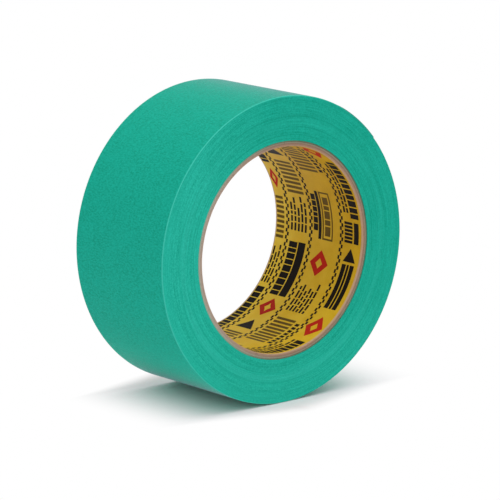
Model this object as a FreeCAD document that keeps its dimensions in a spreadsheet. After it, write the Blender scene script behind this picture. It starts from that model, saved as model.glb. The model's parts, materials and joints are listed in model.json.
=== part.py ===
import FreeCAD, Part
import math
import os

import Sketcher

# A roll of creped masking tape on a wound paper core, in millimetres.
# The axis of the bore runs along Y and the origin is at its middle. The front face looks along -Y.
# The roll stands on its rim, with +Z up. Angles run from +X towards +Z, seen from the front.

doc = FreeCAD.newDocument("masking_tape_roll")
sizes = doc.addObject("Spreadsheet::Sheet", "sizes")

DRIVING_SIZES = [
    # the tape
    ("tape_width", "50", "width of the tape, and length of the roll along its axis"),
    ("web_gauge", "0.1", "thickness of one turn: creped paper with its adhesive"),
    ("roll_diameter", "113", "across the roll at the cut end of the tape"),
    ("end_angle", "40", "where the cut end of the tape lies, in degrees"),
    ("lead_arc", "20", "length of the free lead, from its cut end to its fold"),
    ("lead_gap", "0.15", "air under the free lead, which has sprung up a little"),
    ("fold_gap", "0.2", "between the free lead and the turn that it comes from"),
    # marks on the side faces, where the winding tension changed
    ("mark_width", "0.6", "width of a winding mark"),
    ("mark_depth", "0.12", "depth of a winding mark"),
    # the core
    ("bore_diameter", "76", "the 3 inch bore that goes on a dispenser's hub"),
    ("liner_gauge", "0.2", "printed paper that lines the bore"),
    ("board_gauge", "0.42", "each ply of core board"),
    ("glue_line", "0.04", "the glue between two plies, and under the first turn of tape"),
    ("seam_gap", "0.25", "where the two edges of a ply nearly meet"),
    ("first_seam_angle", "150", "where the liner's seam lies, in degrees"),
    ("seam_turn_angle", "100", "from one ply's seam to the next, in degrees"),
    ("core_setback", "0.3", "how far the core's ends lie inside the faces of the tape"),
    ("lip_depth", "0.3", "length along the bore of the lip that the cutting knife rounds"),
    ("lip_width", "0.2", "the same lip, across the wall"),
]
for row, (alias, value, note) in enumerate(DRIVING_SIZES, start=1):
    sizes.set(f"A{row}", note)
    sizes.set(f"B{row}", value)
    sizes.setAlias(f"B{row}", alias)
doc.recompute()

BOARD_PLIES = 4
FULL_TURN = 360
# The winding marks, as shares of the way from the core out to the rim.
WINDING_MARKS = {"inner_mark": 0.13, "middle_mark": 0.30, "outer_mark": 0.53}

# Sizes that follow from the driving ones.
BORE_RADIUS = "sizes.bore_diameter / 2"
PLIES_AND_GLUE = f"sizes.liner_gauge + {BOARD_PLIES} * (sizes.board_gauge + sizes.glue_line)"
CORE_RADIUS = f"({BORE_RADIUS} + {PLIES_AND_GLUE})"
TAPE_INSIDE = f"({CORE_RADIUS} + sizes.glue_line)"
ROLL_RADIUS = "sizes.roll_diameter / 2"
# The last turn is two half-turns, struck from two centres a half thickness apart,
# so the winding grows by one thickness in a turn, as a spiral does.
CENTRE_SHIFT = "sizes.web_gauge / 4"
TURN_RADIUS = f"({ROLL_RADIUS} - {CENTRE_SHIFT})"
LEAD_ANGLE = f"(sizes.lead_arc / {TURN_RADIUS} * 180 / pi)"
FOLD_ANGLE = f"((sizes.lead_arc + sizes.fold_gap) / {TURN_RADIUS} * 180 / pi)"
LEAD_RADIUS = f"({TURN_RADIUS} - sizes.web_gauge + sizes.lead_gap)"

ROLL_AXIS = FreeCAD.Vector(0, -1, 0)  # turns +X towards +Z
ORIGIN = -1  # in a constraint, the sketch's own origin or X axis, with point 1 or 0
POINT, START, END, CENTRE = 1, 1, 2, 3


def new_body(name, turned_by):
    """An empty body, turned about the roll's axis by an angle from the sheet."""
    body = doc.addObject("PartDesign::Body", name)
    body.Label = name
    body.Placement = FreeCAD.Placement(FreeCAD.Vector(), FreeCAD.Rotation(ROLL_AXIS, 10))
    body.setExpression("Placement.Rotation.Angle", turned_by)
    return body


def new_sketch(body, plane, name):
    """A sketch on one of the body's own origin planes."""
    sketch = body.newObject("Sketcher::SketchObject", name)
    origin_plane = next(f for f in body.Origin.OriginFeatures if f.Role == plane)
    sketch.AttachmentSupport = [(origin_plane, "")]
    sketch.MapMode = "FlatFace"
    return sketch


def limit(sketch, name, kind, *where, size):
    """Add a named constraint whose value comes from the sheet."""
    index = sketch.addConstraint(Sketcher.Constraint(kind, *where))
    sketch.renameConstraint(index, name)
    sketch.setExpression(f"Constraints.{name}", size)


def tie(sketch, kind, *where):
    sketch.addConstraint(Sketcher.Constraint(kind, *where))


def size_of(expression):
    """The value of an expression on the sheet, in millimetres or degrees."""
    return float(sizes.evalExpression(expression.replace("sizes.", "")))


def point(radius, angle, centre=0.0):
    """A point of a sketch on a circle whose centre lies on the sketch's X axis."""
    turn = math.radians(angle)
    return FreeCAD.Vector(centre + radius * math.cos(turn), radius * math.sin(turn), 0)


def arc(sketch, centre, radius, low, high):
    circle = Part.Circle(FreeCAD.Vector(centre, 0, 0), FreeCAD.Vector(0, 0, 1), radius)
    return sketch.addGeometry(Part.ArcOfCircle(circle, math.radians(low), math.radians(high)))


def pad(body, sketch, name):
    """Give the sketch the tape's width, half of it to each side."""
    feature = body.newObject("PartDesign::Pad", name)
    feature.Profile = sketch
    feature.SideType = "Symmetric"
    feature.setExpression("Length", "sizes.tape_width")
    return feature


def lip(radius):
    """How far the rounded lip of the bore cuts back the core's end at a radius."""
    across = f"({radius} - {BORE_RADIUS}) / sizes.lip_width"
    return f"sizes.lip_depth * max(0; 1 - {across})^2"


def core_ply(name, inner, outer, seam_at):
    """One ply of the core: a strip bent into a tube, with a butt seam along it."""
    body = new_body(name, seam_at)
    sketch = new_sketch(body, "XY_Plane", f"{name}_section")
    low, high, half = size_of(inner), size_of(outer), size_of("sizes.tape_width / 2")
    corners = [(low, -half), (high, -half), (high, half), (low, half)]
    corners = [FreeCAD.Vector(x, y, 0) for x, y in corners]
    edges = [
        sketch.addGeometry(Part.LineSegment(corners[i], corners[(i + 1) % 4])) for i in range(4)
    ]
    for edge, following in zip(edges, edges[1:] + edges[:1]):
        tie(sketch, "Coincident", edge, END, following, START)
    _, outside, _, inside = edges
    for wall, radius, label in ((inside, inner, "inner"), (outside, outer, "outer")):
        tie(sketch, "Symmetric", wall, START, wall, END, ORIGIN)
        top = START if wall == inside else END
        half_length = f"sizes.tape_width / 2 - sizes.core_setback - {lip(radius)}"
        limit(sketch, f"{label}_radius", "DistanceX", ORIGIN, POINT, wall, top, 1.0, size=radius)
        limit(
            sketch, f"{label}_half", "DistanceY", ORIGIN, POINT, wall, top, 1.0, size=half_length
        )
    tube = body.newObject("PartDesign::Revolution", f"{name}_tube")
    tube.Profile = sketch
    tube.ReferenceAxis = (sketch, ["V_Axis"])
    tube.setExpression("Angle", f"{FULL_TURN} - sizes.seam_gap / ({inner}) * 180 / pi")
    return body


def wound_tape():
    """The wound web up to the fold, with the step of one thickness where it ends."""
    body = new_body("wound_tape", "sizes.end_angle")
    sketch = new_sketch(body, "XZ_Plane", "winding_section")
    radius, shift = size_of(TURN_RADIUS), size_of(CENTRE_SHIFT)
    gauge, fold = size_of("sizes.web_gauge"), size_of(FOLD_ANGLE)
    last = arc(sketch, shift, radius, fold, 180)
    before = arc(sketch, -shift, radius - 2 * shift, 180, 360)
    under = arc(sketch, shift, radius - gauge, 0, fold)
    step = sketch.addGeometry(
        Part.LineSegment(point(radius - gauge, fold, shift), point(radius, fold, shift))
    )
    tie(sketch, "Coincident", last, END, before, START)
    tie(sketch, "Coincident", before, END, under, START)
    tie(sketch, "Coincident", under, END, step, START)
    tie(sketch, "Coincident", step, END, last, START)
    tie(sketch, "Coincident", under, CENTRE, last, CENTRE)
    tie(sketch, "PointOnObject", last, CENTRE, ORIGIN)
    tie(sketch, "PointOnObject", before, CENTRE, ORIGIN)
    tie(sketch, "PointOnObject", last, END, ORIGIN)
    tie(sketch, "PointOnObject", before, END, ORIGIN)
    tie(sketch, "PointOnObject", last, CENTRE, step)
    limit(
        sketch, "ahead", "DistanceX", ORIGIN, POINT, last, CENTRE, shift, size=CENTRE_SHIFT
    )
    limit(
        sketch, "behind", "DistanceX", before, CENTRE, ORIGIN, POINT, shift, size=CENTRE_SHIFT
    )
    limit(sketch, "turn_radius", "Radius", last, radius, size=TURN_RADIUS)
    limit(sketch, "fold_angle", "Angle", step, math.radians(fold), size=FOLD_ANGLE)
    core = size_of(TAPE_INSIDE)
    hole = sketch.addGeometry(Part.Circle(FreeCAD.Vector(), FreeCAD.Vector(0, 0, 1), core))
    tie(sketch, "Coincident", hole, CENTRE, ORIGIN, POINT)
    limit(sketch, "inside_radius", "Radius", hole, core, size=TAPE_INSIDE)
    pad(body, sketch, "winding")
    for name, share in WINDING_MARKS.items():
        winding_mark(body, name, f"{TAPE_INSIDE} + {share} * ({ROLL_RADIUS} - {TAPE_INSIDE})")
    return body


def winding_mark(body, name, radius):
    """A shallow V round both side faces, where a few turns are drawn in."""
    doc.recompute()
    before = body.Shape.Volume
    sketch = new_sketch(body, "XY_Plane", f"{name}_section")
    middle, half = size_of(radius), size_of("sizes.tape_width / 2")
    wide, deep = size_of("sizes.mark_width / 2"), size_of("sizes.mark_depth")
    for side, label in ((-1, "front"), (1, "back")):
        face = side * half
        corners = [
            FreeCAD.Vector(middle - wide, face, 0),
            FreeCAD.Vector(middle + wide, face, 0),
            FreeCAD.Vector(middle, face - side * deep, 0),
        ]
        edges = [
            sketch.addGeometry(Part.LineSegment(corners[i], corners[(i + 1) % 3]))
            for i in range(3)
        ]
        for edge, following in zip(edges, edges[1:] + edges[:1]):
            tie(sketch, "Coincident", edge, END, following, START)
        mouth, outer_slope, _ = edges
        tie(sketch, "Horizontal", mouth)
        places = {
            "left": ("DistanceX", mouth, START, f"{radius} - sizes.mark_width / 2"),
            "right": ("DistanceX", mouth, END, f"{radius} + sizes.mark_width / 2"),
            "mid": ("DistanceX", outer_slope, END, radius),
        }
        for place, (kind, edge, end, size) in places.items():
            limit(sketch, f"{label}_{place}", kind, ORIGIN, POINT, edge, end, 1.0, size=size)
        reach = {"face": (mouth, "0"), "root": (outer_slope, "sizes.mark_depth")}
        for place, (edge, drop) in reach.items():
            ends = [ORIGIN, POINT, edge, END] if side > 0 else [edge, END, ORIGIN, POINT]
            height = f"sizes.tape_width / 2 - {drop}"
            limit(sketch, f"{label}_{place}", "DistanceY", *ends, 1.0, size=height)
    groove = body.newObject("PartDesign::Groove", name)
    groove.Profile = sketch
    groove.ReferenceAxis = (sketch, ["V_Axis"])
    groove.Angle = FULL_TURN
    doc.recompute()
    if body.Shape.Volume >= before:
        raise RuntimeError(f"{name} cuts nothing")


def tape_end():
    """The free lead of the tape: the last stretch of the outer turn, lifted off the roll."""
    body = new_body("tape_end", "sizes.end_angle")
    sketch = new_sketch(body, "XZ_Plane", "lead_section")
    shift, gauge = size_of(CENTRE_SHIFT), size_of("sizes.web_gauge")
    radius, angle = size_of(LEAD_RADIUS), size_of(LEAD_ANGLE)
    underside = arc(sketch, shift, radius, 0, angle)
    top = arc(sketch, shift, radius + gauge, 0, angle)
    middle = point(radius + gauge / 2, angle, shift)
    fold = sketch.addGeometry(
        Part.ArcOfCircle(
            Part.Circle(middle, FreeCAD.Vector(0, 0, 1), gauge / 2),
            math.radians(angle),
            math.radians(angle + 180),
        )
    )
    cut = sketch.addGeometry(
        Part.LineSegment(point(radius + gauge, 0, shift), point(radius, 0, shift))
    )
    spoke = sketch.addGeometry(Part.LineSegment(point(0, 0, shift), middle), True)
    tie(sketch, "Coincident", underside, END, fold, END)
    tie(sketch, "Coincident", fold, START, top, END)
    tie(sketch, "Coincident", top, START, cut, START)
    tie(sketch, "Coincident", cut, END, underside, START)
    tie(sketch, "Coincident", underside, CENTRE, top, CENTRE)
    tie(sketch, "PointOnObject", top, CENTRE, ORIGIN)
    tie(sketch, "PointOnObject", cut, START, ORIGIN)
    tie(sketch, "PointOnObject", cut, END, ORIGIN)
    tie(sketch, "Coincident", spoke, START, top, CENTRE)
    tie(sketch, "Coincident", spoke, END, fold, CENTRE)
    tie(sketch, "PointOnObject", top, END, spoke)
    tie(sketch, "PointOnObject", underside, END, spoke)
    limit(sketch, "ahead", "DistanceX", ORIGIN, POINT, top, CENTRE, shift, size=CENTRE_SHIFT)
    limit(sketch, "underside_radius", "Radius", underside, radius, size=LEAD_RADIUS)
    limit(
        sketch, "top_radius", "Radius", top, radius + gauge, size=f"{LEAD_RADIUS} + sizes.web_gauge"
    )
    limit(sketch, "lead_angle", "Angle", spoke, math.radians(angle), size=LEAD_ANGLE)
    pad(body, sketch, "lead")
    return body


def core():
    """The printed liner and the board plies round it, their seams turned from ply to ply."""
    plies = []
    inner = BORE_RADIUS
    for number in range(BOARD_PLIES + 1):
        name = f"core_ply_{number}" if number else "core_liner"
        gauge = "sizes.board_gauge" if number else "sizes.liner_gauge"
        outer = f"{inner} + {gauge}"
        seam_at = f"mod(sizes.first_seam_angle + {number} * sizes.seam_turn_angle; {FULL_TURN})"
        plies.append(core_ply(name, inner, outer, seam_at))
        inner = f"{outer} + sizes.glue_line"
    return plies


pieces = core() + [wound_tape(), tape_end()]
doc.recompute()

for item in doc.Objects:
    if "Invalid" in item.State or "Error" in item.State:
        raise RuntimeError(f"{item.Label} is {item.State}")
os.makedirs("parts", exist_ok=True)
for piece in pieces:
    if piece.Shape.isNull() or not piece.Shape.isValid() or len(piece.Shape.Solids) != 1:
        raise RuntimeError(f"{piece.Label} is not one valid solid")
    piece.Shape.exportStep(f"parts/{piece.Label}.step")
    print(f"{piece.Label}: {piece.Shape.Volume:.1f} mm3")

# The fold, about which the free lead turns: the middle of the lead's rounded root.
fold_radius = size_of(f"{LEAD_RADIUS} + sizes.web_gauge / 2")
fold_axis = point(fold_radius, size_of(LEAD_ANGLE), size_of(CENTRE_SHIFT))
turned = FreeCAD.Rotation(ROLL_AXIS, size_of("sizes.end_angle"))
fold_axis = turned.multVec(FreeCAD.Vector(fold_axis.x, 0, fold_axis.y))
print(f"fold axis through x {fold_axis.x:.4f}, z {fold_axis.z:.4f}")
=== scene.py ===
# %% [markdown]
# # A roll of masking tape
#
# The roll stands on its rim. Its construction comes ready made as a frame: a core of paper
# plies, the wound tape, and the free lead that peels off. This lesson dresses that frame.
# Each piece is built again with the fine shape that the eye expects of paper, and each gets
# a finish made of nodes. Every length is in metres, and the axis of the roll runs along Y.

# %% Load the frame
import json
import math
import random

import bmesh
import bpy
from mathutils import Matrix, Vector


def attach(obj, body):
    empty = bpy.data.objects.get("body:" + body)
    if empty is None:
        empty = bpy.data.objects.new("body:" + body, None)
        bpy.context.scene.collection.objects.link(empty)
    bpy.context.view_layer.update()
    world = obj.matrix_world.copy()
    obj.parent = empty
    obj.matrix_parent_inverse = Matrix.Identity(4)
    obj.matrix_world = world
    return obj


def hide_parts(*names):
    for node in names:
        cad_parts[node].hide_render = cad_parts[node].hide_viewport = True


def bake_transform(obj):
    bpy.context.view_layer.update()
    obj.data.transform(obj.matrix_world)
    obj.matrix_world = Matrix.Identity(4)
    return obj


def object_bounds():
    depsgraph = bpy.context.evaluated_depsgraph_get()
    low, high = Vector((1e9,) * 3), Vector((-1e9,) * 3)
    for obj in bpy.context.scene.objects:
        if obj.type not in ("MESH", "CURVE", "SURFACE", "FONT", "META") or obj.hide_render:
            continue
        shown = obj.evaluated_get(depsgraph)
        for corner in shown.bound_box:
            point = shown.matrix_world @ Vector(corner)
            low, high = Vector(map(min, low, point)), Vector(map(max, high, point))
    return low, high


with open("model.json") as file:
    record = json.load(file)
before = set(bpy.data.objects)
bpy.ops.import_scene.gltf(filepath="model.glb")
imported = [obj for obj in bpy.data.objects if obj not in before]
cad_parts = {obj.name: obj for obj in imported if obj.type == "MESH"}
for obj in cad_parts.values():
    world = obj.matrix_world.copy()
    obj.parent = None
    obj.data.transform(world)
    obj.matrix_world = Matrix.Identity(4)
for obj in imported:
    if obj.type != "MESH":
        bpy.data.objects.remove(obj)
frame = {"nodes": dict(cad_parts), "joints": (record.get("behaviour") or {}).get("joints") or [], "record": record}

cad_low, cad_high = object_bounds()
print("nodes:", sorted(frame["nodes"]))
print("box:", [round(x, 4) for x in cad_low], [round(x, 4) for x in cad_high])

# %% [markdown]
# ## The sizes that everything follows
#
# A wound roll has few sizes: the bore, the wall of the core, the width, and the spiral of
# the last turn. They are read from the frame, so that a new frame needs no new numbers.
# The spiral shrinks by one thickness in a turn, counted from the cut end of the tape.

# %% Read the sizes
MM = 0.001
WEB = 0.1 * MM  # the thickness of one turn of tape
# where the winding tension changed, as shares of the way from the core out to the rim
MARK_SHARES = (0.13, 0.30, 0.53)


def points_of(node):
    """The points of a node's mesh."""
    return [v.co for v in frame["nodes"][node].data.vertices]


def off_axis(point):
    """A point's distance from the axis of the roll."""
    return math.hypot(point.x, point.z)


def turn_of(point):
    """The angle of a point round the axis, from +X towards +Z."""
    return math.atan2(point.z, point.x)


def reach(node):
    """How far a node reaches from the axis, and along it."""
    return max(off_axis(p) for p in points_of(node)), max(p.y for p in points_of(node))


bore_mount = next(m for m in frame["record"]["mounts"] if m["name"] == "core_bore")
bore_radius = bore_mount["dims"]["r_mm"] * MM
roll_radius, half_width = reach("wound_tape")
fold = Vector(frame["joints"][0]["pos_m"])
fold_angle = turn_of(fold)
cut_angle = min(turn_of(p) for p in points_of("tape_end"))
winding_inner = min(off_axis(p) for p in points_of("wound_tape"))
print(f"bore {2 * bore_radius / MM:.1f} mm, roll {2 * roll_radius / MM:.1f} mm across")
print(f"fold at {math.degrees(fold_angle):.1f} degrees round the axis")
print(f"cut at {math.degrees(cut_angle):.1f} degrees")

# %% [markdown]
# ## The camera
#
# A long lens from far away keeps the two rims of the roll nearly the same size. The camera
# comes first, because everything after it is judged through it. It looks past the left
# side of the roll, a little from above.

# %% Place the camera
CAMERA_FROM = Vector((-0.7462, -0.8974, 0.2440))
CAMERA_LOOKS = Vector((0.62769, 0.75024, -0.20771))
LENS_MM = 234.2

camera = bpy.data.objects.new("camera", bpy.data.cameras.new("camera"))
bpy.context.collection.objects.link(camera)
camera.data.lens = LENS_MM
camera.location = CAMERA_FROM
camera.rotation_mode = "QUATERNION"
camera.rotation_quaternion = CAMERA_LOOKS.to_track_quat("-Z", "Y")
bpy.context.scene.camera = camera
bpy.context.scene.view_settings.view_transform = "Standard"
print(f"camera {CAMERA_FROM.length:.3f} m from the roll")

# %% [markdown]
# ## A short way to write node trees
#
# Shaders and Geometry Nodes are both trees of nodes joined by links. Written out in full,
# each node takes several lines, so this class adds a node, sets it and wires it in one go.
# An input is fed either a plain value or the output of another node.


# %% A helper for node trees
class Graph:
    """A node tree with short ways to add nodes and to wire them."""

    def __init__(self, tree):
        self.tree = tree

    def feed(self, socket, value):
        """Give a socket a plain value, or link it to another node's output."""
        if isinstance(value, bpy.types.NodeSocket):
            self.tree.links.new(value, socket)
        elif value is not None:
            socket.default_value = value

    def add(self, kind, inputs=(), **settings):
        """A new node, with its inputs fed and its settings made."""
        node = self.tree.nodes.new(kind)
        for name, value in settings.items():
            setattr(node, name, value)
        for name, value in dict(inputs).items():
            self.feed(node.inputs[name], value)
        return node

    def math(self, operation, *values, clamp=False):
        node = self.add("ShaderNodeMath", operation=operation, use_clamp=clamp)
        for socket, value in zip(node.inputs, values):
            self.feed(socket, value)
        return node.outputs[0]

    def plus(self, a, b):
        return self.math("ADD", a, b)

    def minus(self, a, b):
        return self.math("SUBTRACT", a, b)

    def times(self, a, b):
        return self.math("MULTIPLY", a, b)

    def over(self, a, b):
        return self.math("DIVIDE", a, b)

    def vector(self, x, y, z):
        return self.add("ShaderNodeCombineXYZ", {"X": x, "Y": y, "Z": z}).outputs[0]

    def parts(self, vector):
        return self.add("ShaderNodeSeparateXYZ", {"Vector": vector}).outputs

    def here(self):
        """The X, Y and Z of the shaded point, on its own object."""
        return self.parts(self.add("ShaderNodeTexCoord").outputs["Object"])

    def noise(self, vector, scale, detail=2.0, roughness=0.5):
        """Noise from 0 to 1. One over its scale is about the size of its patches."""
        inputs = {"Vector": vector, "Scale": scale, "Detail": detail, "Roughness": roughness}
        node = self.add("ShaderNodeTexNoise", inputs)
        return node.outputs[0]

    def ramp(self, value, low, high, to_low=0.0, to_high=1.0):
        """A soft step: to_low where the value is below low, to_high where it is above high."""
        inputs = {0: value, 1: low, 2: high, 3: to_low, 4: to_high}
        node = self.add("ShaderNodeMapRange", interpolation_type="SMOOTHSTEP")
        for index, given in inputs.items():
            self.feed(node.inputs[index], given)
        return node.outputs[0]

    def blend(self, share, first, second):
        """A colour that goes from the first to the second as share goes from 0 to 1."""
        node = self.add("ShaderNodeMix", data_type="RGBA")
        self.feed(node.inputs[0], share)
        self.feed(node.inputs[6], first)
        self.feed(node.inputs[7], second)
        return node.outputs[2]

    def lay(self, under, over, mask, most=1.0):
        """One colour laid over another where the mask is high, at most this strongly."""
        return self.blend(mask if most == 1.0 else self.times(mask, most), under, over)


def socket(group, name, kind="NodeSocketFloat", output=False, value=None):
    """Give a node group a named input or output."""
    made = group.interface.new_socket(
        name=name, in_out="OUTPUT" if output else "INPUT", socket_type=kind
    )
    if value is not None:
        made.default_value = value
    return made


def paint(hex_colour):
    """A colour as linear red, green and blue, with alpha."""
    levels = [int(hex_colour[i : i + 2], 16) / 255 for i in (0, 2, 4)]
    linear = [x / 12.92 if x <= 0.04045 else ((x + 0.055) / 1.055) ** 2.4 for x in levels]
    return (*linear, 1.0)


# %% [markdown]
# ## Fibres, shared by every paper
#
# Tape, liner and core board are all paper, so all of them show cloudy patches where the
# fibres lie thicker, and a fine grain. One node group makes both from the position on the
# object. Its stretch input draws the pattern out along the roll's axis, which is the way
# that the furrows of creped paper run.

# %% Build the fibre group
fibres = bpy.data.node_groups.new("Paper fibres", "ShaderNodeTree")
socket(fibres, "Cloud Size", value=3 * MM)
socket(fibres, "Grain Size", value=0.4 * MM)
socket(fibres, "Stretch", value=1.0)
socket(fibres, "Clouds", output=True)
socket(fibres, "Grain", output=True)
g = Graph(fibres)
given = g.add("NodeGroupInput").outputs
x, y, z = g.here()
drawn_out = g.vector(x, g.over(y, given["Stretch"]), z)
clouds = g.noise(drawn_out, g.over(1.0, given["Cloud Size"]), detail=3.0)
grain = g.noise(drawn_out, g.over(1.0, given["Grain Size"]), detail=4.0, roughness=0.6)
put = g.add("NodeGroupOutput")
g.feed(put.inputs["Clouds"], g.ramp(clouds, 0.3, 0.7))
g.feed(put.inputs["Grain"], g.ramp(grain, 0.25, 0.75))
print("fibre group:", len(fibres.nodes), "nodes")


def new_material(name):
    """A material with its Principled BSDF, and its tree as a Graph."""
    material = bpy.data.materials.new(name)
    material.use_nodes = True
    shader = material.node_tree.nodes["Principled BSDF"]
    return material, shader, Graph(material.node_tree)


def use_group(g, group, values):
    """Place a node group in a material with its own values, and return its outputs."""
    return g.add("ShaderNodeGroup", values, node_tree=group).outputs


def with_fibres(g, cloud_size, grain_size, stretch=1.0):
    """Put the fibre group in a material and return its Clouds and Grain."""
    values = {"Cloud Size": cloud_size, "Grain Size": grain_size, "Stretch": stretch}
    outputs = use_group(g, fibres, values)
    return outputs["Clouds"], outputs["Grain"]


def roughen(g, shader, height, distance):
    """Let a height bend the surface's normal."""
    bump = g.add("ShaderNodeBump", {"Height": height, "Distance": distance})
    g.feed(shader.inputs["Normal"], bump.outputs["Normal"])


# %% [markdown]
# ## A gradient to one side, and bands that fade
#
# Where more light falls on one side, the papers are painted paler there, as painted light.
# A second group makes that mask: it grows along a direction, from a start to an end. A third
# group makes a mask that is full close to a line or an edge and gone a little further off,
# which is how a frayed edge with its painted highlight, a soiled ring with its painted shade
# or a pale ring looks. Each paper uses them with its own values.

# %% Build the gradient group and the band group
gradient = bpy.data.node_groups.new("One-sided wear", "ShaderNodeTree")
socket(gradient, "Direction", "NodeSocketVector", value=(0.0, 0.0, -1.0))
for label, value in {"Start": 0.0, "End": 50 * MM, "Least": 0.0, "Most": 1.0}.items():
    socket(gradient, label, value=value)
socket(gradient, "Gradient Share", output=True)
g = Graph(gradient)
given = g.add("NodeGroupInput").outputs
place = g.add("ShaderNodeTexCoord").outputs["Object"]
pair = {0: place, 1: given["Direction"]}
along = g.add("ShaderNodeVectorMath", pair, operation="DOT_PRODUCT")
limits = [given[label] for label in ("Start", "End", "Least", "Most")]
g.add("NodeGroupOutput", {"Gradient Share": g.ramp(along.outputs["Value"], *limits)})

fading_band = bpy.data.node_groups.new("Fading band", "ShaderNodeTree")
for label in ("Distance", "Full Within", "Gone At", "Most"):
    socket(fading_band, label, value=0.0)
socket(fading_band, "Band", output=True)
g = Graph(fading_band)
given = g.add("NodeGroupInput").outputs
limits = [given[label] for label in ("Full Within", "Gone At", "Most")]
g.add("NodeGroupOutput", {"Band": g.ramp(given["Distance"], *limits, to_high=0.0)})
print("wear group:", len(gradient.nodes), "nodes, band group:", len(fading_band.nodes), "nodes")


def gradient_towards(g, direction, start, end, least=0.0, most=1.0):
    """A mask that grows along a direction, from least at the start to most at the end."""
    values = {"Direction": direction, "Start": start, "End": end, "Least": least, "Most": most}
    return use_group(g, gradient, values)["Gradient Share"]


def band_near(g, distance, full_within, gone_at, most=1.0):
    """A mask that fades out as the distance from a line or an edge grows."""
    values = {"Distance": distance, "Full Within": full_within, "Gone At": gone_at}
    return use_group(g, fading_band, {**values, "Most": most})["Band"]


# %% [markdown]
# ## Creped paper, seen from its back
#
# Masking tape stretches because its paper is pushed into fine furrows across the web while
# it is wet. The backing is dyed through and sealed with a thin coat, so it is matt face on
# and turns pale where it is seen edge on. Sheen does that, and the furrows are a bump on
# noise that is stretched along the axis. Towards both rims the colour lifts, partly for the
# cut fibres that stand up there and partly as a painted highlight along the edge. It is
# painted paler underneath as well, as painted light thrown up by the floor.

# %% Make the tape's backing
FRAYED_HIGHLIGHT_FULL, FRAYED_HIGHLIGHT_GONE = 0.15 * MM, 0.5 * MM  # from the corner between rim and side
tape_back, shader, g = new_material("tape_back")
clouds, furrows = with_fibres(g, cloud_size=4 * MM, grain_size=0.5 * MM, stretch=2.0)
to_side = g.minus(half_width, g.math("ABSOLUTE", g.here()["Y"]))
# painted highlight: a pale band along both rims, partly frayed fibres
frayed_highlight = band_near(g, to_side, FRAYED_HIGHLIGHT_FULL, FRAYED_HIGHLIGHT_GONE, most=0.6)
# painted light: paler underneath, for the light thrown up by the floor
painted_lit = gradient_towards(g, (0.0, 0.0, -1.0), start=24 * MM, end=50 * MM, most=0.36)
colour = g.blend(furrows, paint("029c80"), paint("1abba2"))
colour = g.lay(colour, paint("14b79e"), clouds, most=0.3)
colour = g.lay(colour, paint("10e6c2"), painted_lit)
colour = g.lay(colour, paint("52dcc6"), frayed_highlight)
g.feed(shader.inputs["Base Color"], colour)
shader.inputs["Roughness"].default_value = 0.62
shader.inputs["Specular IOR Level"].default_value = 0.07
shader.inputs["Sheen Weight"].default_value = 0.50
shader.inputs["Sheen Roughness"].default_value = 0.22
shader.inputs["Sheen Tint"].default_value = (0.92, 0.7, 1.0, 1.0)
roughen(g, shader, furrows, 0.03 * MM)

# %% [markdown]
# ## The side of the winding
#
# The side face shows the cut edges of every turn. No two turns lie exactly flush, and the
# knife drags some of them, so the face is full of fine rings, some pale and some dark. Noise
# on the distance from the axis gives rings. A little of the position goes in as well, so
# that a ring fades in and out as it goes round. Towards -X and below, the face is painted
# paler as painted light, and the broad and pale rings grow stronger there.

# %% Make the cut edges of the turns
tape_side, shader, g = new_material("tape_side")
clouds, grain = with_fibres(g, cloud_size=7 * MM, grain_size=0.45 * MM)
x, _, z = g.here()
from_axis = g.math("SQRT", g.plus(g.times(x, x), g.times(z, z)))
WANDER = 0.02  # how much of the position goes into the rings
FINE_RING, BROAD_RING = 0.35 * MM, 2.6 * MM
ring_place = g.vector(g.times(x, WANDER), from_axis, g.times(z, WANDER))
fine_rings = g.ramp(g.noise(ring_place, 1 / FINE_RING, detail=3.0), 0.3, 0.7)
broad_rings = g.ramp(g.noise(ring_place, 1 / BROAD_RING, detail=1.0), 0.3, 0.7)

# the masks of the painted light: paler towards -X and below
painted_lit_left = gradient_towards(g, (-1.0, 0.0, 0.0), start=0.0, end=45 * MM, most=0.45)
painted_lit_below = gradient_towards(g, (0.0, 0.0, -1.0), start=12 * MM, end=50 * MM, most=0.4)
painted_lit_share = g.math("MAXIMUM", painted_lit_left, painted_lit_below)
# the broad and pale rings are laid more strongly towards -X and below
stronger_lower_left = gradient_towards(g, (-0.6, 0.0, -1.0), start=-45 * MM, end=45 * MM, least=0.2)

# rings and grain between a low and a high shade, both painted paler towards -X and below as painted light, then
# the broad rings and the clouds
low_edge = g.blend(painted_lit_share, paint("00967a"), paint("0aa488"))
high_edge = g.blend(painted_lit_share, paint("20c2a8"), paint("44e4cc"))
frayed = g.plus(g.times(fine_rings, 0.4), g.times(grain, 0.6))
colour = g.blend(frayed, low_edge, high_edge)
colour = g.lay(colour, paint("28c4aa"), g.times(broad_rings, stronger_lower_left), most=0.4)
colour = g.lay(colour, paint("28bba2"), clouds, most=0.2)

# soiled rings at the marks, darkened as dirt and as painted shade in their grooves, one pale ring, and the frayed
# edge with its painted highlight at the rim
wall = roll_radius - winding_inner
for share in MARK_SHARES:
    off_mark = g.math("ABSOLUTE", g.minus(from_axis, winding_inner + share * wall))
    soiled_and_shaded = band_near(g, off_mark, full_within=0.0, gone_at=0.3 * MM, most=0.25)
    colour = g.lay(colour, paint("04957a"), soiled_and_shaded)
PALE_SHARE = 0.42  # where the pale ring lies, as a share of the wall
off_ring = g.math("ABSOLUTE", g.minus(from_axis, winding_inner + PALE_SHARE * wall))
pale_ring = band_near(g, off_ring, full_within=0.5 * MM, gone_at=1.6 * MM, most=0.25)
colour = g.lay(colour, paint("3accb6"), g.times(pale_ring, stronger_lower_left))
to_rim = g.minus(roll_radius, from_axis)
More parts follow.
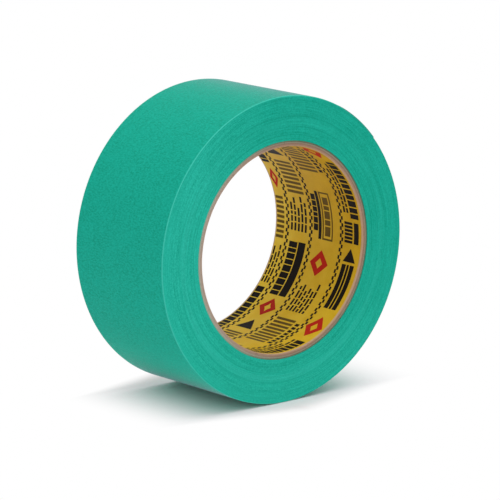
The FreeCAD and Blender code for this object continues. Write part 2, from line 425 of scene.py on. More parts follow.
# painted highlight: a pale band along the rim, partly frayed fibres
frayed_highlight = band_near(g, to_rim, FRAYED_HIGHLIGHT_FULL, FRAYED_HIGHLIGHT_GONE, most=0.6)
colour = g.lay(colour, paint("52dcc6"), frayed_highlight)
g.feed(shader.inputs["Base Color"], colour)
shader.inputs["Roughness"].default_value = 0.78
shader.inputs["Specular IOR Level"].default_value = 0.06
shader.inputs["Sheen Weight"].default_value = 0.03
shader.inputs["Sheen Roughness"].default_value = 0.3
roughen(g, shader, g.plus(fine_rings, g.times(grain, 0.5)), 0.05 * MM)

# %% [markdown]
# ## Core board and liner
#
# Core board is waste paper: greyish brown, with darker and paler flecks. Its cut end is
# rougher than its face, and it is painted paler towards -X, as painted light. The plies come
# from different waste, so each has its own shade; the outermost is painted darker, as the
# painted shade of the line where the core meets the tape. The liner is smooth paper printed
# all over in mustard yellow, and it shows its pale body only where the knife has cut it. Its
# yellow is painted from dull in front to bright at the rear and below, as painted light.

# %% Make the core's papers


def core_board(name, dark, light, painted_lit):
    """One shade of core board, and a paler copy of it painted towards -X as painted light."""
    board, shader, g = new_material(name)
    clouds, grain = with_fibres(g, cloud_size=1.6 * MM, grain_size=0.25 * MM)
    # painted light: paler towards -X
    painted_lit_share = gradient_towards(g, (-1.0, 0.0, 0.0), start=-5 * MM, end=38 * MM, most=0.85)
    colour = g.blend(grain, paint(dark), paint(light))
    colour = g.lay(colour, paint("b39a86"), clouds, most=0.15)
    colour = g.lay(colour, paint(painted_lit), painted_lit_share)
    g.feed(shader.inputs["Base Color"], colour)
    shader.inputs["Roughness"].default_value = 0.9
    shader.inputs["Specular IOR Level"].default_value = 0.15
    roughen(g, shader, grain, 0.12 * MM)
    return board


# each ply's dark and light shades are its grain as it shows on the shaded side, and the third is a paler copy
# painted towards -X as painted light; the outermost ply is painted darker still, as the painted shade of the line
# where it meets the tape
BOARD_SHADES = [  # from the bore outwards
    ("board_rose", "ad8a72", "c09c84", "c0ab98"),
    ("board_brown", "967a64", "ab8e78", "c4b4a2"),
    ("board_pale", "9a8f78", "ada48c", "c4c2b0"),
    ("board_grey_shaded", "6e7860", "828c74", "b0c0aa"),
]
boards = [core_board(*shade) for shade in BOARD_SHADES]

liner_paper, shader, g = new_material("liner_paper")
clouds, grain = with_fibres(g, cloud_size=6 * MM, grain_size=0.3 * MM)
PRINT_ENDS = half_width - 1.0 * MM  # the print stops this far from the middle
RAGGED, SOFT = 0.2 * MM, 0.15 * MM  # how uneven its edge is, and how soft
off_middle = g.plus(g.math("ABSOLUTE", g.here()["Y"]), g.times(grain, RAGGED))
bare = g.ramp(off_middle, PRINT_ENDS, PRINT_ENDS + SOFT)
# painted light: the yellow brightens towards the rear and below
painted_lit_rear = gradient_towards(g, (-0.3, 1.2, -0.7), start=-50 * MM, end=50 * MM)
dull = g.blend(painted_lit_rear, paint("c49902"), paint("fad41a"))
fresh = g.blend(painted_lit_rear, paint("d2a80c"), paint("fde040"))
colour = g.blend(clouds, dull, fresh)
colour = g.lay(colour, paint("eecd38"), grain, most=0.3)
colour = g.lay(colour, paint("c9ab8c"), bare)
g.feed(shader.inputs["Base Color"], colour)
shader.inputs["Roughness"].default_value = 0.55
shader.inputs["Specular IOR Level"].default_value = 0.25
roughen(g, shader, grain, 0.02 * MM)


def ink(name, dense, thin):
    """Printing ink, which lies thinner on the high fibres of the paper."""
    made, shader, g = new_material(name)
    clouds, grain = with_fibres(g, cloud_size=2.5 * MM, grain_size=0.25 * MM)
    colour = g.lay(paint(dense), paint(thin), grain, most=0.5)
    colour = g.lay(colour, paint(thin), clouds, most=0.3)
    g.feed(shader.inputs["Base Color"], colour)
    shader.inputs["Roughness"].default_value = 0.5
    shader.inputs["Specular IOR Level"].default_value = 0.1
    return made


black_ink = ink("black_ink", "080300", "1c1004")
red_ink = ink("red_ink", "c01a08", "cc2c0c")
olive_ink = ink("olive_ink", "5f4c0c", "776020")
print("materials:", len(bpy.data.materials))

# %% [markdown]
# ## From a node tree to a plain mesh
#
# A Geometry Nodes modifier is live: it is worked out again whenever it is looked at. The
# finished piece has to be a plain mesh, so the modifier is given its sizes, its result is
# copied into a mesh, and the modifier goes with the object that carried it.


# %% Helpers that make a piece, grow it from a tree, shade it and measure it
def place_mesh(name, mesh):
    """A new object at the origin that shows a mesh."""
    piece = bpy.data.objects.new(name, mesh)
    bpy.context.collection.objects.link(piece)
    return piece


def grow(name, tree, values):
    """The plain mesh object that a Geometry Nodes tree makes with these input values."""
    carrier = bpy.data.objects.new(f"{name}_carrier", bpy.data.meshes.new("empty"))
    bpy.context.collection.objects.link(carrier)
    modifier = carrier.modifiers.new("grow", "NODES")
    modifier.node_group = tree
    identifiers = {
        item.name: item.identifier
        for item in tree.interface.items_tree
        if item.item_type == "SOCKET" and item.in_out == "INPUT"
    }
    for label, value in values.items():
        modifier[identifiers[label]] = value
    evaluated = carrier.evaluated_get(bpy.context.evaluated_depsgraph_get())
    mesh = bpy.data.meshes.new_from_object(evaluated)
    mesh.name = name
    carrier.modifiers.remove(modifier)
    bpy.data.objects.remove(carrier)
    return place_mesh(name, mesh)


def smooth(piece, sharp_degrees):
    """Shade a piece smooth, but keep the edges that turn by more than this."""
    piece.data.shade_smooth()
    piece.data.set_sharp_from_angle(angle=math.radians(sharp_degrees))


def report(piece):
    """Print a piece's size and whether its surface is closed and points outwards."""
    shape = bmesh.new()
    shape.from_mesh(piece.data)
    open_edges = sum(not edge.is_manifold for edge in shape.edges)
    volume = shape.calc_volume(signed=True)
    triangles = sum(len(face.verts) - 2 for face in shape.faces)
    shape.free()
    print(f"{piece.name}: {triangles} triangles, {open_edges} open, {volume / MM**3:.1f} mm3")


def new_geometry_tree(name):
    """An empty Geometry Nodes tree with a geometry input and output."""
    tree = bpy.data.node_groups.new(name, "GeometryNodeTree")
    socket(tree, "Geometry", "NodeSocketGeometry")
    socket(tree, "Geometry", "NodeSocketGeometry", output=True)
    return tree


# %% [markdown]
# ## The wound web, as a rule
#
# The winding is one shape that follows a rule, which suits Geometry Nodes. A flat grid has
# two directions. One becomes the way round the roll. The other becomes the way round the
# cross-section: out over the front face, along the rim, back in over the rear face and
# home through the inside. The rim's radius shrinks by one thickness in a turn, so the two
# ends of the grid meet everywhere but at the rim. There a second grid, two points wide, is
# moved by the same rule and makes the little step where the last turn leaves off.

# %% Build the winding's tree: grids and the rule's coordinates
winding_tree = new_geometry_tree("Wound web")
for label, value in {
    "Inner Radius": 40 * MM,
    "Fold Radius": 56.5 * MM,
    "Half Width": 25 * MM,
    "Gauge": WEB,
    "Fold Angle": 1.0,
    "Rim Round": 0.18 * MM,
    "Ring Relief": 0.08 * MM,
    "Furrow Relief": 0.03 * MM,
    "Mark Width": 0.6 * MM,
    "Mark Depth": 0.12 * MM,
}.items():
    socket(winding_tree, label, value=value)
for label, value in {"Steps Round": 480, "Steps Across": 66}.items():
    socket(winding_tree, label, "NodeSocketInt", value=value)
for label in ("Rim Material", "Side Material"):
    socket(winding_tree, label, "NodeSocketMaterial")

INSIDE_STEPS = 2
g = Graph(winding_tree)
given = g.add("NodeGroupInput").outputs
across = given["Steps Across"]
stations = g.plus(g.times(across, 3.0), INSIDE_STEPS + 1.0)
sheet_size = {"Size X": 1.0, "Size Y": 1.0, "Vertices Y": stations}
web_size = {**sheet_size, "Vertices X": g.plus(given["Steps Round"], 1.0)}
web_grid = g.add("GeometryNodeMeshGrid", web_size)
step_grid = g.add("GeometryNodeMeshGrid", {**sheet_size, "Vertices X": 2})
outside_out = g.add("GeometryNodeFlipFaces", {"Mesh": web_grid.outputs["Mesh"]})
both = g.add("GeometryNodeJoinGeometry")
g.feed(both.inputs[0], outside_out.outputs["Mesh"])
g.feed(both.inputs[0], step_grid.outputs["Mesh"])

x, y, z = g.parts(g.add("GeometryNodeInputPosition").outputs[0])
turned = g.times(g.plus(x, 0.5), math.tau)
angle = g.plus(given["Fold Angle"], turned)
leg = g.times(g.plus(y, 0.5), g.plus(3.0, g.over(float(INSIDE_STEPS), across)))


def leg_share(index, steepness=1.0):
    """How much of one leg of the cross-section lies behind a point, from 0 to 1."""
    return g.math("MULTIPLY", g.minus(leg, index), steepness, clamp=True)


# %% The rule for the radius
outwards, rearwards = leg_share(0.0), leg_share(1.0)
inwards, homewards = leg_share(2.0), leg_share(3.0, g.over(across, float(INSIDE_STEPS)))
CROWDING = 0.92  # draws the points of the rim towards its two corners
wave = g.math("SINE", g.times(rearwards, math.tau))
rearwards = g.minus(rearwards, g.times(wave, CROWDING / math.tau))
out = g.minus(outwards, inwards)
along = g.minus(rearwards, homewards)
HAIR = 1e-4  # numbers this close count as equal
on_rim = g.math("COMPARE", out, 1.0, HAIR)

rim_round = given["Rim Round"]
worn_off = g.times(given["Gauge"], g.over(turned, math.tau))
side_radius = g.minus(g.minus(given["Fold Radius"], given["Gauge"]), rim_round)
reach_out = g.times(out, g.minus(side_radius, given["Inner Radius"]))
flat_radius = g.plus(given["Inner Radius"], reach_out)
to_corner = g.minus(side_radius, flat_radius)
near_rim = g.ramp(to_corner, 0.0, 0.5 * MM, to_low=1.0, to_high=0.0)
spiral = g.times(near_rim, g.minus(given["Gauge"], worn_off))

flat_y = g.times(given["Half Width"], g.minus(g.times(along, 2.0), 1.0))
to_edge = g.minus(given["Half Width"], g.math("ABSOLUTE", flat_y))
corner = g.math("SUBTRACT", 1.0, g.over(to_edge, g.times(rim_round, 2.0)), clamp=True)
bulge = g.times(rim_round, g.minus(1.0, g.times(corner, corner)))
radius = g.plus(g.plus(flat_radius, spiral), g.times(on_rim, bulge))

# %% [markdown]
# ## Relief in the rule
#
# The finest lines are left to the materials, but the larger relief belongs in the shape:
# turns that stand a little in or out on the side faces, and shallow furrows on the rim.
# Both are noise, read where the point will end up. The side's relief only ever goes
# inwards, so the roll never grows past its width.

# %% Add relief and place the points
cosine, sine = g.math("COSINE", angle), g.math("SINE", angle)
round_x, round_z = g.times(cosine, radius), g.times(sine, radius)
RING_WANDER = 0.015  # how much of the position goes into the rings
NARROW_TURNS, BROAD_TURNS = 0.9 * MM, 3.5 * MM
RING_FADE = 0.4 * MM  # the rings stop this far from the bore and from the rim
ring_place = g.vector(g.times(round_x, RING_WANDER), radius, g.times(round_z, RING_WANDER))
narrow = g.noise(ring_place, 1 / NARROW_TURNS, detail=1.0)
broad = g.noise(ring_place, 1 / BROAD_TURNS, detail=0.0)
rings = g.ramp(g.plus(g.times(narrow, 0.6), g.times(broad, 0.4)), 0.3, 0.7)
from_bore = g.minus(flat_radius, given["Inner Radius"])
field = g.times(g.ramp(to_corner, 0.0, RING_FADE), g.ramp(from_bore, 0.0, RING_FADE))
drawn_in = g.times(g.times(rings, field), given["Ring Relief"])
wall = g.minus(given["Fold Radius"], given["Inner Radius"])
for share in MARK_SHARES:
    off_mark = g.math("ABSOLUTE", g.minus(from_bore, g.times(wall, share)))
    slope = g.over(off_mark, g.times(given["Mark Width"], 0.5))
    groove = g.math("SUBTRACT", 1.0, slope, clamp=True)
    drawn_in = g.plus(drawn_in, g.times(groove, given["Mark Depth"]))
placed_y = g.minus(flat_y, g.times(drawn_in, g.math("SIGN", flat_y)))

FURROW_WIDTH, FURROW_STRETCH = 1.6 * MM, 0.2  # less stretch draws them out further
furrow_place = g.vector(round_x, g.times(flat_y, FURROW_STRETCH), round_z)
furrows = g.minus(g.noise(furrow_place, 1 / FURROW_WIDTH, detail=1.0), 0.5)
in_field = g.times(on_rim, g.ramp(to_edge, 0.0, 1.0 * MM))
radius = g.plus(radius, g.times(g.times(furrows, in_field), given["Furrow Relief"]))
place = g.vector(g.times(cosine, radius), placed_y, g.times(sine, radius))

named = {"Geometry": both.outputs[0], "Name": "on_rim", "Value": on_rim}
marked = g.add("GeometryNodeStoreNamedAttribute", named, data_type="FLOAT", domain="POINT")
wrapped = g.add("GeometryNodeSetPosition", {"Geometry": marked.outputs[0], "Position": place})
WELD = 0.001 * MM
weld = {"Geometry": wrapped.outputs[0], "Distance": WELD}
welded = g.add("GeometryNodeMergeByDistance", weld)
sided = g.add("GeometryNodeSetMaterial", {"Geometry": welded.outputs[0]})
g.feed(sided.inputs["Material"], given["Side Material"])
rim_mark = g.add("GeometryNodeInputNamedAttribute", {"Name": "on_rim"}, data_type="FLOAT")
is_rim = g.math("GREATER_THAN", rim_mark.outputs["Attribute"], 0.99)  # all corners on it
rim_only = {"Geometry": sided.outputs[0], "Selection": is_rim}
rimmed = g.add("GeometryNodeSetMaterial", rim_only)
g.feed(rimmed.inputs["Material"], given["Rim Material"])
real = g.add("GeometryNodeRealizeInstances", {"Geometry": rimmed.outputs[0]})
g.add("NodeGroupOutput", {"Geometry": real.outputs[0]})

# %% Grow the winding
FACET_PLAY = 0.03 * MM  # the frame's facets cut this much off the true round
wound = grow(
    "tape_winding",
    winding_tree,
    {
        "Inner Radius": winding_inner,
        "Fold Radius": roll_radius - FACET_PLAY,
        "Half Width": half_width,
        "Gauge": WEB,
        "Fold Angle": fold_angle,
        "Rim Material": tape_back,
        "Side Material": tape_side,
    },
)
smooth(wound, 60)
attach(wound, "roll")
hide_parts("wound_tape")
report(wound)

# %% [markdown]
# ## The lead
#
# The last 20 mm of the tape lifts and is pulled; the frame has its joint at the fold. It
# is one thin strip that starts inside the last turn and rises out of it, because a real tape
# has no seam where it lifts. Masking tape is torn by hand, so its end is ragged. The strip is
# a few rows of points swept along the turn, closed all round, and it lifts off the turn up to the fold.

# %% Build the lead
LEAD_LAP = 3.2 * MM
LEAD_LIFT = 0.03 * MM
LEAD_STEP = 0.35 * MM
LEAD_ROWS = 100
TORN_DEPTH = 1.2 * MM
lead_outer = reach("tape_end")[0]
turn_radius = roll_radius - FACET_PLAY
start_angle = fold_angle + LEAD_LAP / turn_radius
rng = random.Random(7)
teeth = [rng.random() for _ in range(LEAD_ROWS + 1)]
TEETH_MIX = ((0, 0.5), (7, 0.3), (19, 0.2))  # each row looks this far ahead, with this weight
tear = [
    sum(weight * teeth[(row + ahead) % len(teeth)] for ahead, weight in TEETH_MIX)
    for row in range(len(teeth))
]


def place_shape(name, shape, material):
    """A new object from a bmesh, with its faces turned outwards and its material."""
    bmesh.ops.recalc_face_normals(shape, faces=shape.faces)
    piece = place_mesh(name, bpy.data.meshes.new(name))
    shape.to_mesh(piece.data)
    shape.free()
    piece.data.materials.append(material)
    return piece


def lead_radius(angle):
    """The outer radius of the strip: flush with the turn at first, then lifted."""
    share = min(1.0, max(0.0, (start_angle - angle) / (start_angle - fold_angle)))
    share = share * share * (3 - 2 * share)
    sunk = turn_radius - WEB / 4
    return sunk + (turn_radius + LEAD_LIFT - sunk) * share


def lead_point(row, station, stations, depth):
    """A point of the strip: its row across, its station along, its depth below the top."""
    y = half_width * (2 * row / LEAD_ROWS - 1)
    end = cut_angle + TORN_DEPTH * tear[row] / lead_outer
    angle = start_angle + (end - start_angle) * station / stations
    radius = lead_radius(angle) - depth
    return Vector((radius * math.cos(angle), y, radius * math.sin(angle)))


stations = round(lead_outer * (start_angle - cut_angle) / LEAD_STEP)
shape = bmesh.new()
layers = []
for depth in (0.0, WEB):
    rows = range(LEAD_ROWS + 1)
    points = [[lead_point(r, s, stations, depth) for s in range(stations + 1)] for r in rows]
    layers.append([[shape.verts.new(p) for p in line] for line in points])
top, under = layers
for r in range(LEAD_ROWS):
    for s in range(stations):
        for layer in layers:
            near, far = layer[r], layer[r + 1]
            shape.faces.new((near[s], near[s + 1], far[s + 1], far[s]))
    for s in (0, stations):
        shape.faces.new((top[r][s], top[r + 1][s], under[r + 1][s], under[r][s]))
for s in range(stations):
    for r in (0, LEAD_ROWS):
        shape.faces.new((top[r][s], top[r][s + 1], under[r][s + 1], under[r][s]))
lead = place_shape("tape_lead", shape, tape_back)
smooth(lead, 50)
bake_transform(lead)
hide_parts("tape_end")
report(lead)

# %% [markdown]
# ## The core's plies
#
# The core is wound from board strips, and each ply is a tube with one seam. A machined
# profile would be too perfect: the saw that cuts a core leaves its end a little uneven. A
# profile is swept round in small steps, and each end point is pushed in by a random
# amount that changes slowly from step to step. The liner, the innermost of them, has its
# edge pressed over into a small rounded lip.

# %% Sweep the liner and the plies
CORE_STEPS = 480
CORE_END = 24.7 * MM
LIP_DEPTH = 0.3 * MM
LIP_WIDTH = 0.2 * MM
FIRST_SEAM = math.radians(150)
SEAM_TURN = math.radians(100)
SEAM_GAP = 0.25 * MM
SAW_MARKS = 0.06 * MM


def core_end(radius):
    """How far the core reaches along the axis at a radius: less inside the lip."""
    share = min(1.0, max(0.0, (radius - bore_radius) / LIP_WIDTH))
    return CORE_END - LIP_DEPTH * (1 - share) ** 2


def uneven(count, rng):
    """A closed run of slowly changing values from 0 to 1."""
    waves = [(rng.randint(3, 40), rng.random() * math.tau, rng.random()) for _ in range(12)]
    total = sum(size for _, _, size in waves)
    values = []
    for i in range(count):
        turn = math.tau * i / count
        value = sum(size * math.sin(n * turn + shift) for n, shift, size in waves)
        values.append(0.5 + 0.5 * value / total)
    return values


def sweep_ply(name, inner, outer, seam, material, seed):
    """A C-shaped tube between two radii, with uneven ends and a seam."""
    rng = random.Random(seed)
    radii = [inner + (outer - inner) * k / 4 for k in range(5)]
    profile = [(r, -core_end(r), -1) for r in radii]
    profile += [(outer, 0.0, 0)]
    profile += [(r, core_end(r), 1) for r in reversed(radii)]
    profile += [(inner, 0.0, 0)]
    marks = {side: uneven(CORE_STEPS, rng) for side in (-1, 0, 1)}
    half_gap = SEAM_GAP / (2 * inner)
    shape = bmesh.new()
    sections = []
    for i in range(CORE_STEPS + 1):
        angle = seam + half_gap + (math.tau - 2 * half_gap) * i / CORE_STEPS
        section = []
        for radius, y, side in profile:
            y -= side * SAW_MARKS * marks[side][i % CORE_STEPS]
            point = (radius * math.cos(angle), y, radius * math.sin(angle))
            section.append(shape.verts.new(point))
        sections.append(section)
    for here, there in zip(sections, sections[1:]):
        for k in range(len(profile)):
            after = (k + 1) % len(profile)
            shape.faces.new((here[k], here[after], there[after], there[k]))
    shape.faces.new(sections[0])
    shape.faces.new(sections[-1])
    piece = place_shape(name, shape, material)
    smooth(piece, 35)
    return piece


def dress_core(name, node, material, index):
    """Sweep the piece that stands for one ply of the core."""
    walls = [off_axis(p) for p in points_of(node)]
    seam = FIRST_SEAM + index * SEAM_TURN
    piece = sweep_ply(name, min(walls), max(walls), seam, material, seed=20 + index)
    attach(piece, "roll")
    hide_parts(node)
    report(piece)


dress_core("liner", "core_liner", liner_paper, 0)
for index, board in enumerate(boards, start=1):
    dress_core(f"board_ply_{index}", f"core_ply_{index}", board, index)

# %% [markdown]
# ## Checker bands on the liner
#
# The liner is printed before it goes into the core. Three narrow checker bands run round
# it. A checker band is a rule once more: each square sits one square's length further
# round than the last, and they take turns between two rows. The tree sets a line of points
# by that rule and puts a thin square of ink on each. Wet ink runs a little, so the squares
# are slightly longer and taller than their step, and their corners touch.

# %% Build the checker tree
INK_RISE = 0.015 * MM  # how far the ink stands out of the liner
INK_DEPTH = 0.045 * MM  # how thick a patch of ink is, with its foot inside the liner
SQUARES = 176
checker_tree = new_geometry_tree("Checker band")
for label, value in {
    "Bore Radius": 38 * MM,
    "Centre": 0.0,
    "Row Step": 0.9 * MM,
    "Square Height": 1.0 * MM,
    "Ink Spread": 1.05,
    "Rise": INK_RISE,
    "Depth": INK_DEPTH,
}.items():
    socket(checker_tree, label, value=value)
socket(checker_tree, "Squares", "NodeSocketInt", value=SQUARES)
socket(checker_tree, "Ink", "NodeSocketMaterial")
g = Graph(checker_tree)
given = g.add("NodeGroupInput").outputs
squares = g.add("GeometryNodeMeshLine", {"Count": given["Squares"]})
index = g.add("GeometryNodeInputIndex").outputs[0]
angle = g.over(g.times(index, math.tau), given["Squares"])
row = g.minus(g.math("MODULO", index, 2.0), 0.5)
middle = g.plus(g.minus(given["Bore Radius"], given["Rise"]), g.times(given["Depth"], 0.5))
place = g.vector(
    g.times(g.math("COSINE", angle), middle),
    g.plus(given["Centre"], g.times(row, given["Row Step"])),
    g.times(g.math("SINE", angle), middle),
)
at_rule = {"Geometry": squares.outputs[0], "Position": place}
placed = g.add("GeometryNodeSetPosition", at_rule)
length = g.over(g.times(given["Bore Radius"], math.tau), given["Squares"])
size = g.vector(given["Depth"], given["Square Height"], g.times(length, given["Ink Spread"]))
square = g.add("GeometryNodeMeshCube", {"Size": size})
rotation = g.vector(0.0, g.minus(0.0, angle), 0.0)
laid = g.add(
    "GeometryNodeInstanceOnPoints",
    {"Points": placed.outputs[0], "Instance": square.outputs[0], "Rotation": rotation},
)
real = g.add("GeometryNodeRealizeInstances", {"Geometry": laid.outputs[0]})
in_ink = {"Geometry": real.outputs[0], "Material": given["Ink"]}
inked = g.add("GeometryNodeSetMaterial", in_ink)
g.add("NodeGroupOutput", {"Geometry": inked.outputs[0]})

# %% Print the checker bands
BAND_DEPTHS = [11.9 * MM, 29.2 * MM, 42.6 * MM]  # from the front of the roll
for number, depth in enumerate(BAND_DEPTHS, start=1):
    values = {"Bore Radius": bore_radius, "Centre": depth - half_width, "Squares": SQUARES}
    band = grow(f"checker_band_{number}", checker_tree, {**values, "Ink": black_ink})
    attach(band, "roll")
    report(band)

# %% [markdown]
# ## The rest of the print
#
# Between the bands the liner carries plain printed shapes: bars, boxes, hatching, arrows
# and red lozenges. Each is a thin closed patch of ink, bent to the bore. All of them come
# from one form: a strip between a lower and an upper edge, where each edge is a function
# of the way along it. Equal edges make a bar, slanted ones an arrowhead or a lozenge.


# %% A patch of ink, and marks made of patches
CELL_PAIR = 2.4  # a patch bends with the bore at least this often, in mm
ARROW_REACH = 1.02  # an arrowhead ends just short of its point
STROKE = 0.62  # the stroke of a lozenge, as a share of half its height
STROKE_LAP = 0.05  # how far each half of a lozenge swells past its middle line, in mm
DASHES = (1.2, 3.4)  # the shortest and the longest dash, in mm
DASH_GAP = 0.5


class Press:
    """Collects patches of one ink. Lengths are in millimetres round and along the bore."""

    def __init__(self):
        self.shape = bmesh.new()

    def patch(self, start, end, low, high):
        """A closed patch from start to end, between the edges low and high."""
        cells = 2 * max(1, math.ceil((end - start) / CELL_PAIR))
        sections = []
        for i in range(cells + 1):
            share = i / cells
            angle = (start + (end - start) * share) * MM / bore_radius
            low_y, high_y = low(share) * MM - half_width, high(share) * MM - half_width
            inner, outer = bore_radius - INK_RISE, bore_radius - INK_RISE + INK_DEPTH
            corners = ((inner, low_y), (inner, high_y), (outer, high_y), (outer, low_y))
            places = [(r * math.cos(angle), y, r * math.sin(angle)) for r, y in corners]
            sections.append([self.shape.verts.new(p) for p in places])
        for here, there in zip(sections, sections[1:]):
            for k in range(4):
                after = (k + 1) % 4
                self.shape.faces.new((here[k], here[after], there[after], there[k]))
        self.shape.faces.new(sections[0])
        self.shape.faces.new(sections[-1])

    def bar(self, start, end, low, high):
        """A patch with straight edges."""
        self.patch(start, end, lambda s: low, lambda s: high)

    def arrow(self, start, end, low, high):
        """A triangle that narrows towards its end."""
        middle, half = (low + high) / 2, (high - low) / 2

        def spread(s):
            return half * (ARROW_REACH - s)

        self.patch(start, end, lambda s: middle - spread(s), lambda s: middle + spread(s))

    def lozenge(self, start, end, low, high):
        """A diamond with a hole, made of a pointed upper and a pointed lower stroke."""
        middle, half = (low + high) / 2, (high - low) / 2

        def peak(s):
            return half * (1 - abs(2 * s - 1))

        def hole(s):
            return max(0.0, peak(s) - half * STROKE)

        upper = (lambda s: middle + hole(s), lambda s: middle + STROKE_LAP + peak(s))
        lower = (lambda s: middle - STROKE_LAP - peak(s), lambda s: middle - hole(s))
        self.patch(start, end, *upper)
        self.patch(start, end, *lower)

    def lines(self, start, low, lengths, thickness=0.9, pitch=1.9):
        """Rows of dashes of random length."""
        for k, length in enumerate(lengths):
            place = start
            while place < start + length:
                dash = rng.uniform(*DASHES)
                self.bar(place, place + dash, low + k * pitch, low + k * pitch + thickness)
                place += dash + DASH_GAP

    def box(self, start, end, low, high, line=0.6):
        """A frame of four thin bars."""
        self.bar(start, end, low, low + line)
        self.bar(start, end, high - line, high)
        self.bar(start, start + line, low + line, high - line)
        self.bar(end - line, end, low + line, high - line)

    def hatch(self, start, low, high, count, width=1.0, pitch=2.0):
        """Bars side by side."""
        for k in range(count):
            self.bar(start + k * pitch, start + k * pitch + width, low, high)

    def blocks(self, start, low, high, widths, gap=0.5):
        """Blocks of these widths, one after the other."""
        for width in widths:
            self.bar(start, start + width, low, high)
            start += width + gap

    def finish(self, name, ink):
        """Turn the collected patches into one piece."""
        piece = place_shape(name, self.shape, ink)
        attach(piece, "roll")
        report(piece)


# %% Lay out the print
black, red, olive = Press(), Press(), Press()
rng = random.Random(11)
REPEATS = 3  # the print comes round this often
BLOCK_WIDTHS = (1.3, 2.6)  # the narrowest and the widest block, in mm
repeat = math.tau * bore_radius / MM / REPEATS


def run_of_blocks(count):
    """Random widths for a run of blocks."""
    return [rng.uniform(*BLOCK_WIDTHS) for _ in range(count)]


# u is where a row starts round the bore; each mark gives its place after u, then how far
# from the front of the roll it begins and ends
for k in range(REPEATS):
    # the first row, between the front edge and the first band
    u = k * repeat + 6
    black.blocks(u, 2.0, 6.4, run_of_blocks(11))
    black.lines(u + 2, 7.2, [22.0, 18.0], thickness=1.1, pitch=1.7)
    red.lozenge(u + 29, u + 40, 1.9, 10.6)
    black.bar(u + 44, u + 62, 3.0, 5.2)
    black.bar(u + 44, u + 62, 5.7, 6.9)
    black.bar(u + 44, u + 62, 7.4, 9.6)
    black.arrow(u + 63, u + 68, 3.0, 9.6)
    black.bar(u + 70, u + 78, 2.4, 5.0)
    black.hatch(u + 70, 5.8, 10.2, 6, width=1.0, pitch=1.4)
    # the second row, between the first and the second band
    u = k * repeat + 24
    olive.hatch(u, 16.8, 27.2, 9, width=1.2, pitch=2.0)
    black.lines(u + 21, 16.8, [12.0, 10.0, 11.0, 9.0, 12.0, 10.0], thickness=1.0, pitch=1.8)
    red.lozenge(u + 37, u + 47, 17.0, 27.0)
    black.hatch(u + 0.6, 13.6, 15.6, 8, width=1.4, pitch=2.0)
    olive.box(u + 51, u + 70, 16.8, 22.6, line=0.7)
    olive.blocks(u + 52.6, 18.2, 21.2, [3.6, 2.0, 3.0, 1.6, 3.0])
    black.bar(u + 51, u + 70, 23.2, 24.8)
    black.blocks(u + 54, 25.2, 27.6, run_of_blocks(6), gap=0.35)
    # the third row, between the second and the third band
    u = k * repeat + 50
    black.bar(u, u + 22, 31.4, 35.4)
    black.blocks(u, 36.0, 40.6, run_of_blocks(9), gap=0.35)
    black.lines(u + 26, 31.6, [10.0, 12.0, 9.0, 11.0, 10.0], thickness=1.1, pitch=2.0)
    olive.hatch(u + 41, 31.4, 40.6, 8, width=1.2, pitch=2.0)
    black.arrow(u + 60, u + 66, 31.6, 40.4)
    red.lozenge(u + 69, u + 78, 31.6, 40.6)
    # the last row, between the third band and the rear edge
    u = k * repeat + 12
    red.lozenge(u, u + 9, 44.4, 48.8)
    black.blocks(u + 12, 44.6, 48.8, run_of_blocks(12), gap=0.4)
    black.lines(u + 42, 44.6, [14.0, 11.0, 13.0], thickness=0.9, pitch=1.6)
    olive.hatch(u + 60, 44.6, 48.8, 9, width=1.1, pitch=1.9)
black.finish("black_print", black_ink)
red.finish("red_print", red_ink)
olive.finish("olive_print", olive_ink)

# %% [markdown]
# ## The floor and the light
#
# A pale floor takes the roll's soft shadow. Away from the line that the roll stands on, it
# hands over to a plain white that only the camera and reflections see, so no edge shows.
# The hand-over is slow to both sides of the roll, where the round rim shades the floor,
# and quick past its two flat faces. One large soft lamp hangs over the roll, a small one
# fills in from the left, and the pale surroundings do the rest.

# %% Lay the floor
FLOOR_HALF = 6.0  # half its width, in metres
floor_z = cad_low.z
floor_mesh = bpy.data.meshes.new("floor")
corners = [(-1, -1), (1, -1), (1, 1), (-1, 1)]
floor_points = [(FLOOR_HALF * a, FLOOR_HALF * b, floor_z) for a, b in corners]
floor_mesh.from_pydata(floor_points, [], [(0, 1, 2, 3)])
floor = place_mesh("floor", floor_mesh)
floor_paint, shader, g = new_material("floor_paint")
x, y, z = g.here()
FAR_REACH = 4 * MM  # the light comes from the front, so the shadow reaches further back
RIGHT_WEIGHT = 0.87  # it fades a little later towards +X, away from the fill lamp
END_WEIGHT = 3.5  # and this much faster past the roll's two faces
past_back = g.minus(y, half_width + FAR_REACH)
past_front = g.minus(g.times(y, -1.0), half_width)
past_end = g.math("MAXIMUM", g.math("MAXIMUM", past_back, past_front), 0.0)
sideways = g.math("MAXIMUM", g.times(x, RIGHT_WEIGHT), g.times(x, -1.0))
away = g.plus(sideways, g.times(past_end, END_WEIGHT))
TOOTH_SCALE = 300.0  # the floor's paper tooth is about 3 mm
tooth = g.noise(g.vector(x, y, z), TOOTH_SCALE)
pale = g.blend(tooth, (0.98, 0.895, 0.942, 1.0), (0.985, 0.905, 0.947, 1.0))
g.feed(shader.inputs["Base Color"], pale)
shader.inputs["Roughness"].default_value = 0.9
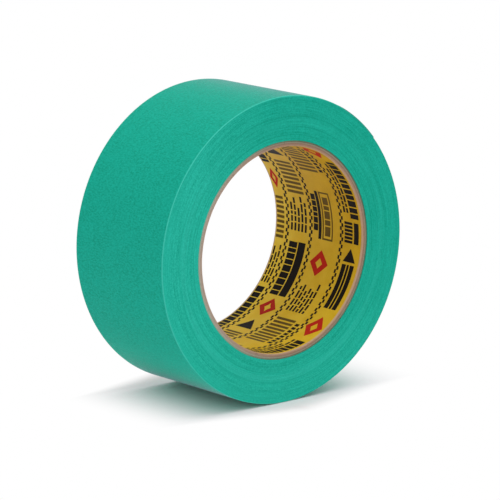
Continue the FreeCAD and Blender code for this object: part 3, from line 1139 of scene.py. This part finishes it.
shader.inputs["Specular IOR Level"].default_value = 0.0
path = g.add("ShaderNodeLightPath").outputs
seen = g.math("MAXIMUM", path["Is Camera Ray"], path["Is Glossy Ray"])
seen = g.math("MAXIMUM", seen, path["Is Transmission Ray"])
white = g.add("ShaderNodeEmission", {"Color": (1.0, 1.0, 1.0, 1.0), "Strength": 1.0})
FADE_FROM, FADE_TO, FADE_POWER = 12 * MM, 60 * MM, 1.5
fade = g.math("POWER", g.ramp(away, FADE_FROM, FADE_TO), FADE_POWER)
share = g.times(fade, seen)
mixed = g.add("ShaderNodeMixShader")
g.feed(mixed.inputs[0], share)
g.feed(mixed.inputs[1], shader.outputs[0])
g.feed(mixed.inputs[2], white.outputs[0])
g.feed(floor_paint.node_tree.nodes["Material Output"].inputs["Surface"], mixed.outputs[0])
floor_mesh.materials.append(floor_paint)

# %% Hang the lamp and set the surroundings


def hang_lamp(name, place, size, power):
    """A square soft lamp that faces the roll: its side in metres and its power in watts."""
    lamp = bpy.data.objects.new(name, bpy.data.lights.new(name, "AREA"))
    bpy.context.collection.objects.link(lamp)
    lamp.data.shape = "SQUARE"
    lamp.data.size = size
    lamp.data.energy = power
    lamp.location = place
    lamp.rotation_mode = "QUATERNION"
    lamp.rotation_quaternion = (-Vector(place)).to_track_quat("-Z", "Y")
    return lamp


hang_lamp("top_lamp", (0.12, -0.2, 1.1), 1.0, 5.5)
hang_lamp("fill_lamp", (-1.0, -0.45, 0.0), 0.6, 0.7)

AMBIENT = 0.65  # how bright the white surroundings are as light
world = bpy.data.worlds.new("surroundings")
bpy.context.scene.world = world
world.use_nodes = True
g = Graph(world.node_tree)
g.tree.nodes.clear()
path = g.add("ShaderNodeLightPath").outputs
seen = g.math("MAXIMUM", path["Is Camera Ray"], path["Is Transmission Ray"])
level = g.plus(AMBIENT, g.times(seen, 1.0 - AMBIENT))
glow = g.add("ShaderNodeBackground", {"Color": (1.0, 1.0, 1.0, 1.0), "Strength": level})
g.add("ShaderNodeOutputWorld", {"Surface": glow.outputs[0]})
